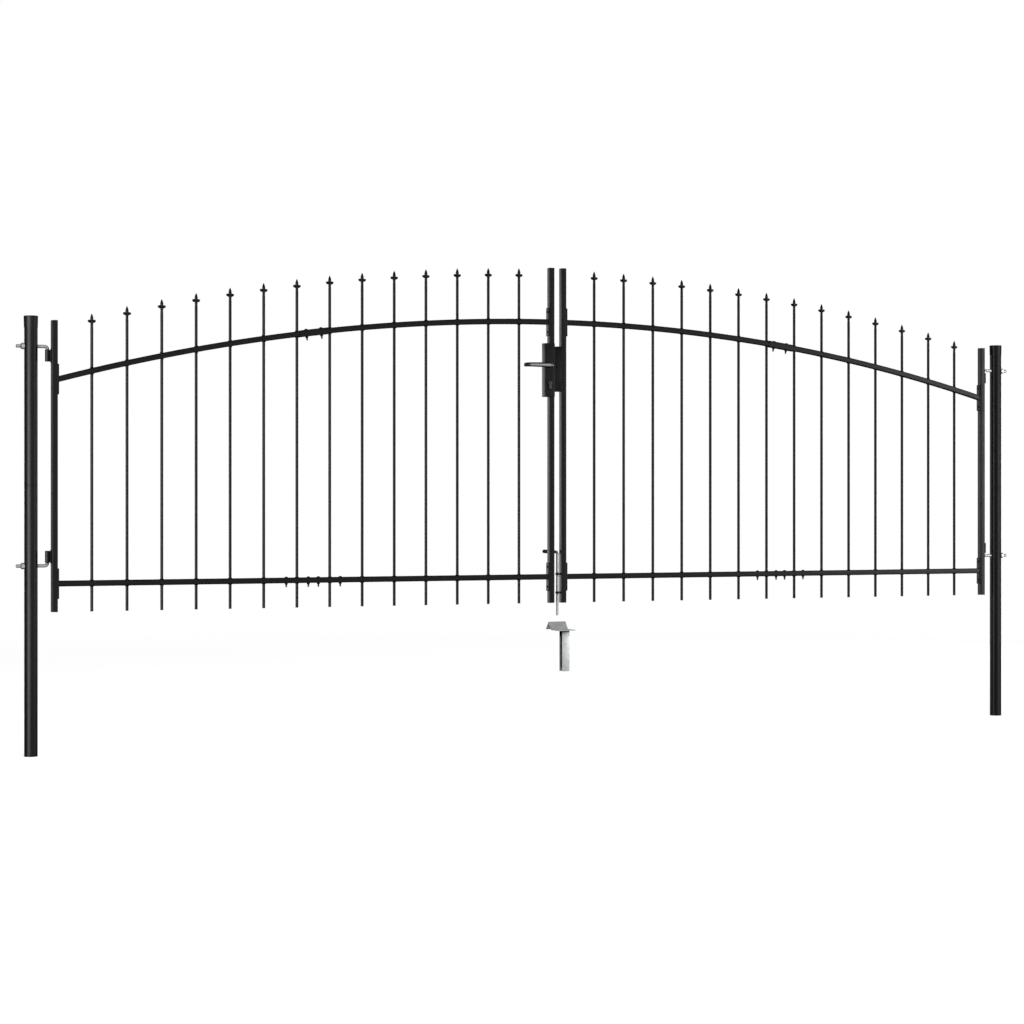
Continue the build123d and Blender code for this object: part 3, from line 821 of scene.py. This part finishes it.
def makeBoltUnit(through):
    # A round-headed bolt from above, its nut below and a bare threaded tail
    radius, head, end = railBolt["diameter"] / 2, railBolt["head"] / 2, railBolt["end"]
    nutFoot = -through - railBolt["nutHeight"]
    foot = nutFoot - railBolt["tail"]
    profile = [(0, foot), (radius - end, foot), (radius, foot + end), (radius, 0), (head, 0)]
    for turn in (step / 6 * pi / 2 for step in range(7)):
        profile.append((head * cos(turn), between(railBolt["headRim"], railBolt["headHeight"], sin(turn))))
    shank = lathe("shank", profile, count=20)
    nut = hexNut(railBolt["nut"], railBolt["nutHeight"], railBolt["nutBore"])
    nut.data.transform(Matrix.Translation((0, 0, nutFoot)))
    thread = makeThread(railBolt["tail"] - 1.5 * mm, railBolt["threadPitch"],
        radius - railBolt["threadRoot"], railBolt["threadRidge"])
    thread.data.transform(Matrix.Translation((0, 0, foot + 1 * mm)))
    return joined("bolt_unit", [shank, nut, thread])


def makeRailBolts():
    sleeve, rail, near, far = (frameTube["sleeve"], frameTube["rail"], railBolt["nearSpread"],
        railBolt["farSpread"])
    sleeveUnit, railUnit = makeBoltUnit(sleeve), makeBoltUnit(rail)
    for side, sign in sides.items():
        upper = []
        for reach in (spliceReach - railBolt["sleeveSpread"], spliceReach + railBolt["sleeveSpread"]):
            upper.append(((middle + sign * reach, leafY, archHeight(reach, sleeve / 2)),
                (0, sign * asin(reach / archRadius), 0)))
        lower = [((middle + sign * (spliceReach + offset), leafY, bottomRailHeight + rail / 2), (0, 0, 0))
            for offset in (-far, -near, near, far)]
        made = [placedCopies("upper", sleeveUnit, upper), placedCopies("lower", railUnit, lower)]
        finish(joined(f"{side}_rail_bolts", made), f"{side}_leaf", "powder_coat")
    discard(sleeveUnit, railUnit)
    print("rail bolts made")


def makePlateScrews():
    # Two button-head screws in each end plate, above and below its rail
    screw = inMetres({"plate": 4, "spread": 37, "head": 9, "rise": 2.4, "sunk": 0.3, "socket": 4.6,
        "socketDepth": 1.7})
    head, socket, rise, sunk = screw["head"], screw["socket"] / 2, screw["rise"], screw["sunk"]
    floor = rise - screw["socketDepth"]
    profile = [(0, floor), (socket, floor), (socket, rise), (head * 0.35, rise), (head * 0.47, rise * 0.6),
        (head / 2, rise * 0.15), (head / 2, -sunk), (0, -sunk)]
    unit = lathe("plate_screw", profile, count=20)
    for side, sign in sides.items():
        spots = []
        for node, way in ((f"{side}_hinge_stile", -sign), (innerStile[side], sign)):
            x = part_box(node)[1 if way > 0 else 0].x + way * screw["plate"]
            for centre in (archHeight(abs(x - middle)), bottomRailHeight):
                for offset in (-screw["spread"], screw["spread"]):
                    spots.append(((x, leafY, centre + offset), (0, way * pi / 2, 0)))
        finish(placedCopies(f"{side}_plate_screws", unit, spots), f"{side}_leaf", "powder_coat")
    discard(unit)
    print("plate screws made")


# Lock, lever and keep

lock = inMetres({"edge": 1.2, "spacing": 64, "spindleOffset": 22, "spindleRise": 116, "spindleHole": 12,
    "cylinderHead": 17, "cylinderTail": 10, "cylinderDrop": 24.5, "cylinderGap": 0.15, "cylinderEdge": 0.5})
caseLow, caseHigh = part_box("lock_case")
spindleX = caseHigh.x - lock["spindleOffset"]
spindleHeight = caseLow.z + lock["spindleRise"]
cylinderHeight = spindleHeight - lock["spacing"]


def cylinderOutline(grow=0.0):
    # A round head over a narrow round-ended tail
    head = lock["cylinderHead"] / 2 + grow
    tail = lock["cylinderTail"] / 2 + grow
    drop = lock["cylinderDrop"] - lock["cylinderTail"] / 2
    start = atan2(-sqrt(head ** 2 - tail ** 2), tail)
    turns = [between(start, pi - start, step / 28) for step in range(29)]
    points = [(head * cos(turn), head * sin(turn)) for turn in turns]
    turns = [pi + pi * step / 10 for step in range(11)]
    return points + [(tail * cos(turn), tail * sin(turn) - drop) for turn in turns]


def throughCase(name, outline, height, front, back):
    rings = [[(spindleX + u, y, height + v) for u, v in outline] for y in (front, back)]
    return skin(name, rings, sharp=30)


def makeLock():
    case = roundedBox("lock_case_shell", caseLow, caseHigh, lock["edge"])
    for outline, height in ((circle(lock["spindleHole"] / 2, 24), spindleHeight),
            (cylinderOutline(lock["cylinderGap"]), cylinderHeight)):
        combine(case, throughCase("hole", outline, height, caseLow.y - 10 * mm, caseHigh.y + 10 * mm))
    finish(case, "left_leaf", "powder_coat", "lock_case")

    low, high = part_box("lock_cylinder")
    body = rounded(throughCase("lock_barrel", cylinderOutline(), cylinderHeight, low.y, high.y),
        lock["cylinderEdge"])
    cuts = ((circle(6.4 * mm, 28), 1, 0.35), (circle(5.9 * mm, 28), 2, 2),  # outline, mm outside, mm deep
            (roundedRectangle(1.3 * mm, 8.2 * mm, 0.4 * mm), 2, 6))
    for face, way in ((low.y, mm), (high.y, -mm)):
        groove, core, keyway = (
            throughCase("cut", outline, cylinderHeight, face - way * outside, face + way * deep)
            for outline, outside, deep in cuts)
        combine(groove, core)
        combine(body, groove)
        combine(body, keyway)
    finish(body, "left_leaf", "nickel_plate", "lock_cylinder")
    dressNode("keep_block", "lock_keep", 0.5 * mm, "right_leaf", "powder_coat")
    print("lock made")


def makeLever():
    # One casting: an elbow out of the neck, a tapering oval grip and a short return at its end
    lever = inMetres({"neck": 17, "collar": 2.2, "chamfer": 1.2, "hubWidth": 13, "hubHeight": 15,
        "grip": 20, "gripEnd": 14, "thickness": 10, "elbow": 26, "bend": 14, "returned": 34, "endRound": 5})
    low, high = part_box("lever_handle")
    gripY, endX = low.y + lever["thickness"] / 2, low.x + lever["thickness"] / 2
    neck, turned, corner, end = (Vector((x, y, spindleHeight)) for x, y in (
        (spindleX, high.y - lever["collar"] / 2), (spindleX, gripY), (endX, gripY),
        (endX, gripY + lever["returned"])))
    elbow = bentPath(neck, turned, corner, lever["elbow"])[:-1]
    bend = bentPath(elbow[-1], corner, end, lever["bend"], steps=12)
    path = elbow[:-1] + [bend[0].lerp(bend[1], step / 30) for step in range(30)] + bend[1:-1]
    path += [bend[-2].lerp(bend[-1], step / 5) for step in range(1, 6)]
    lengths = [0.0]
    for before, after in zip(path, path[1:]):
        lengths.append(lengths[-1] + (after - before).length)
    outlines = []
    for length in lengths:
        share = length / lengths[-1]
        blend = min(length / lengths[len(elbow) - 1], 1)
        blend = blend * blend * (3 - 2 * blend)
        tall = between(lever["hubHeight"], between(lever["grip"], lever["gripEnd"], share ** 1.3), blend) / 2
        thick = between(lever["hubWidth"], lever["thickness"] * (1 - 0.22 * share), blend) / 2
        fromEnd = min((lengths[-1] - length) / lever["endRound"], 1)
        ease = sqrt(max(1 - (1 - fromEnd) ** 2, 0.02))
        outlines.append([(tall * v, thick * u) for u, v in circle(ease, 24)])
    grip = sweep("lever_casting", path, outlines, Vector((0, 0, 1)), sharp=70)
    radius, collar, chamfer = lever["neck"] / 2, lever["collar"], lever["chamfer"]
    profile = [(0, 0), (radius - chamfer / 2, 0), (radius, chamfer / 2), (radius, collar),
        (radius - chamfer, collar + chamfer), (0, collar + chamfer)]
    place = Matrix.Translation((spindleX, high.y, spindleHeight)) @ Matrix.Rotation(pi / 2, 4, "X")
    combine(grip, lathe("stem", profile, place, count=40, sharp=25), "UNION", sharp=45)
    finish(grip, "lever", "cast_aluminium", "lever_handle")
    dressNode("spindle_bar", "lever_spindle", 0.4 * mm, "lever", "cast_aluminium")
    print("lever made")


# Drop bolt and ground stop

def makeDropBolt():
    bolt = {**inMetres({"rod": 10, "rodEnd": 1, "bend": 12, "grip": 14, "bore": 10.3, "rib": 0.6,
        "plain": 6}), "ribs": 12}
    low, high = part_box("drop_bolt_rod")
    rodX = (low.x + high.x) / 2
    handleHeight = high.z - bolt["rod"] / 2
    path = bentPath(Vector((rodX, leafY, low.z)), Vector((rodX, leafY, handleHeight)),
        Vector((rodX, high.y, handleHeight)), bolt["bend"])
    rod = sweptRod("drop_rod", path, bolt["rod"] / 2, bolt["rodEnd"], Vector((1, 0, 0)), 28)
    finish(rod, "drop_bolt", "galvanised_steel", "drop_bolt_rod")
    low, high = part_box("drop_bolt_grip")
    length, radius, bore = high.y - low.y, bolt["grip"] / 2, bolt["bore"] / 2
    profile = [(bore, 0.5 * mm), (radius - 1.6 * mm, 0), (radius - 0.3 * mm, 0.9 * mm),
        (radius - 0.2 * mm, 2.4 * mm)]
    step = (length - 2 * bolt["plain"]) / bolt["ribs"]
    for foot in (bolt["plain"] + rib * step for rib in range(bolt["ribs"])):
        profile += [(radius - bolt["rib"], foot), (radius, foot + step * 0.3), (radius, foot + step * 0.7)]
    profile += [(radius - 0.3 * mm, length - 5 * mm), (radius - 0.5 * mm, length - 2 * mm),
        (radius - 2 * mm, length - 0.4 * mm), (bore, length), (bore, length / 2)]
    place = Matrix.Translation((rodX, low.y, handleHeight)) @ Matrix.Rotation(-pi / 2, 4, "X")
    grip = lathe("drop_handle", profile, place, count=32, loop=True)
    finish(grip, "drop_bolt", "black_plastic", "drop_bolt_grip")
    dressNode("rod_guides", "drop_bolt_guides", 0.4 * mm, "right_leaf", "powder_coat")
    print("drop bolt made")


def makeGroundStop():
    # A folded ridge on a channel that is open to the left
    stop = inMetres({"sheet": 2.5, "edge": 0.6, "ridgeEdge": 0.8})
    dressNode("stop_ridge", "ground_stop_plate", stop["ridgeEdge"], "posts", "galvanised_steel", segments=3)
    low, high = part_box("ground_stop_stem")
    sheet = stop["sheet"]
    channel = [(low.x, low.y), (high.x, low.y), (high.x, high.y), (low.x, high.y), (low.x, high.y - sheet),
        (high.x - sheet, high.y - sheet), (high.x - sheet, low.y + sheet), (low.x, low.y + sheet)]
    stem = rounded(stack("stop_stem", [(channel, low.z), (channel, high.z)]), stop["edge"])
    finish(stem, "posts", "galvanised_steel", "ground_stop_stem")
    print("ground stop made")


makePosts()
makeCaps()
makeHinges()
makeBarrels()
makeStiles()
makeRails()
makeBars()
makeHeadsAndWelds()
makeRailBolts()
makePlateScrews()
makeLock()
makeLever()
makeDropBolt()
makeGroundStop()


# Studio: camera, floor, backdrop light and lamps

def makeCamera():
    view = {"lens": 87.896, "sensor": 36, "heading": 24.407, "place": (-2.0249, -8.4253, 0.8707),
        "shiftY": -0.01123}
    data = bpy.data.cameras.new("camera")
    data.lens = view["lens"]
    data.sensor_width = view["sensor"]
    data.shift_y = view["shiftY"]
    data.clip_end = 400
    camera = addObject("camera", data)
    camera.location = view["place"]
    camera.rotation_euler = (pi / 2, 0, -radians(view["heading"]))
    scene.camera = camera


def seenRays(tree, rays):
    # 1 for what the camera sees, straight or through a clear piece
    return addNode(tree, "Math", {"operation": "MAXIMUM", 0: rays["Is Camera Ray"],
        1: rays["Is Transmission Ray"]})


def makeFloor():
    # Pale floor that keeps the shadow near the gate and runs out into the white of the backdrop
    floor = {"colour": "#e6e6e6", "radius": 60, "drop": 0.5 * mm, "fadeFrom": 3.0, "fadeTo": 7.5,
        "glow": 0.42}
    form = bmesh.new()
    bmesh.ops.create_circle(form, cap_ends=True, segments=96, radius=floor["radius"])
    mesh = meshFrom("floor", form)
    mesh.transform(Matrix.Translation((middle, 0, -floor["drop"])))
    material, tree, place = startMaterial("painted_floor_pale")
    rays = addNode(tree, "LightPath").outputs
    away = addNode(tree, "VectorMath", {"operation": "DISTANCE", 0: place, 1: (middle, 0, 0)})
    fade = addNode(tree, "MapRange", {0: away.outputs["Value"], 1: floor["fadeFrom"], 2: floor["fadeTo"]})
    paint = addNode(tree, "BsdfDiffuse", {"Color": linear(floor["colour"])})
    glow = addNode(tree, "Emission", {"Color": (1, 1, 1, 1), "Strength": floor["glow"]})
    lit = addNode(tree, "AddShader", {0: paint, 1: glow})
    white = addNode(tree, "Emission", {"Color": (1, 1, 1, 1), "Strength": 1.0})
    shown = addNode(tree, "MixShader", {0: fade, 1: lit, 2: white})
    seen = seenRays(tree, rays)
    choice = addNode(tree, "MixShader", {0: seen, 1: paint, 2: shown})
    addNode(tree, "OutputMaterial", {"Surface": choice})
    mesh.materials.append(material)
    plane = addObject("floor", mesh)
    plane.visible_glossy = False


def makeWorld():
    # White to the eye. Reflections see that white in front of and behind the gate; black flags
    # above it and at its ends draw the dark edges of the tubes and of the lever
    room = {"ambient": 0.6, "dim": 0.05, "front": 0.9, "frontHeading": 155.6, "frontEdge": 28,
        "frontFade": 62, "back": 1.0, "backHeading": 2, "backEdge": 6, "backFade": 25, "bandEdge": 8,
        "bandFade": 25, "bandDim": 0.04}
    scene.world = bpy.data.worlds.new("studio")
    tree = clearTree(scene.world)
    rays = addNode(tree, "LightPath").outputs
    look = addNode(tree, "TexCoord").outputs["Generated"]
    zones = []
    for zone in ("front", "back"):
        heading = radians(room[zone + "Heading"])
        facing = addNode(tree, "VectorMath", {"operation": "DOT_PRODUCT", 0: look,
            1: (sin(heading), cos(heading), 0)})
        zones.append(addNode(tree, "MapRange", {"interpolation_type": "SMOOTHSTEP",
            0: facing.outputs["Value"], 1: cos(radians(room[zone + "Fade"])),
            2: cos(radians(room[zone + "Edge"])), 3: room["dim"], 4: room[zone]}))
    rise = addNode(tree, "SeparateXYZ", {0: look}).outputs[2]
    steep = addNode(tree, "Math", {"operation": "ABSOLUTE", 0: rise})
    band = addNode(tree, "MapRange", {"interpolation_type": "SMOOTHSTEP", 0: steep,
        1: sin(radians(room["bandEdge"])), 2: sin(radians(room["bandFade"])), 3: 1.0, 4: room["bandDim"]})
    around = addNode(tree, "Math", {"operation": "MAXIMUM", 0: zones[0], 1: zones[1]})
    mirrored = addNode(tree, "Math", {"operation": "MULTIPLY", 0: around, 1: band})
    bright = seenRays(tree, rays)
    glossy = addNode(tree, "Mix", {0: rays["Is Glossy Ray"], 2: room["ambient"], 3: mirrored})
    strength = addNode(tree, "Mix", {0: bright, 2: glossy, 3: 1.0})
    light = addNode(tree, "Background", {"Color": (1, 1, 1, 1), "Strength": strength})
    addNode(tree, "OutputWorld", {"Surface": light})


# For each lamp: place, aim, width and height in metres, radiance
lamps = {
    "left_strip_light": ((-2.02, -1.73, 1.0), (0, 0, 0.9), (2.1, 2.6), 9.0),
    "right_softbox": ((6.5, -3.5, 1.1), (3.9, 0, 0.9), (1.2, 2.4), 7.0),
    "back_softbox": ((7.5, 3.2, 1.3), (middle, 0, 0.9), (1.6, 2.4), 4.0),
    "side_wall_glow": ((-0.85, 6.0, 1.0), (middle, 0, 0.9), (3.5, 3.0), 2.6),
    "ceiling_softbox": ((middle - 1.5, -3.0, 5.0), (middle, 0, 0.5), (4.0, 3.0), 4.0),
}
lampReach = {"left_strip_light": stripLitPieces, "side_wall_glow": wallLitPieces,
    "right_softbox": boxUnlitPieces}


def makeLamps():
    # The strip and the wall glow reach only their own pieces, and the right box all but its own
    for name, (place, aim, size, radiance) in lamps.items():
        data = bpy.data.lights.new(name, "AREA")
        data.shape = "RECTANGLE"
        data.size, data.size_y = size
        data.energy = radiance * pi * size[0] * size[1]
        lamp = addObject(name, data)
        lamp.location = place
        lamp.rotation_euler = (Vector(aim) - Vector(place)).to_track_quat("-Z", "Y").to_euler()
        lamp.visible_camera = False
        lamp.visible_glossy = name != "ceiling_softbox"
        lamp.light_linking.receiver_collection = lampReach.get(name)
    for entry in boxUnlitPieces.collection_objects:
        entry.light_linking.link_state = "EXCLUDE"


makeCamera()
makeFloor()
makeWorld()
makeLamps()
scene.view_settings.view_transform = "Standard"
print("studio made")
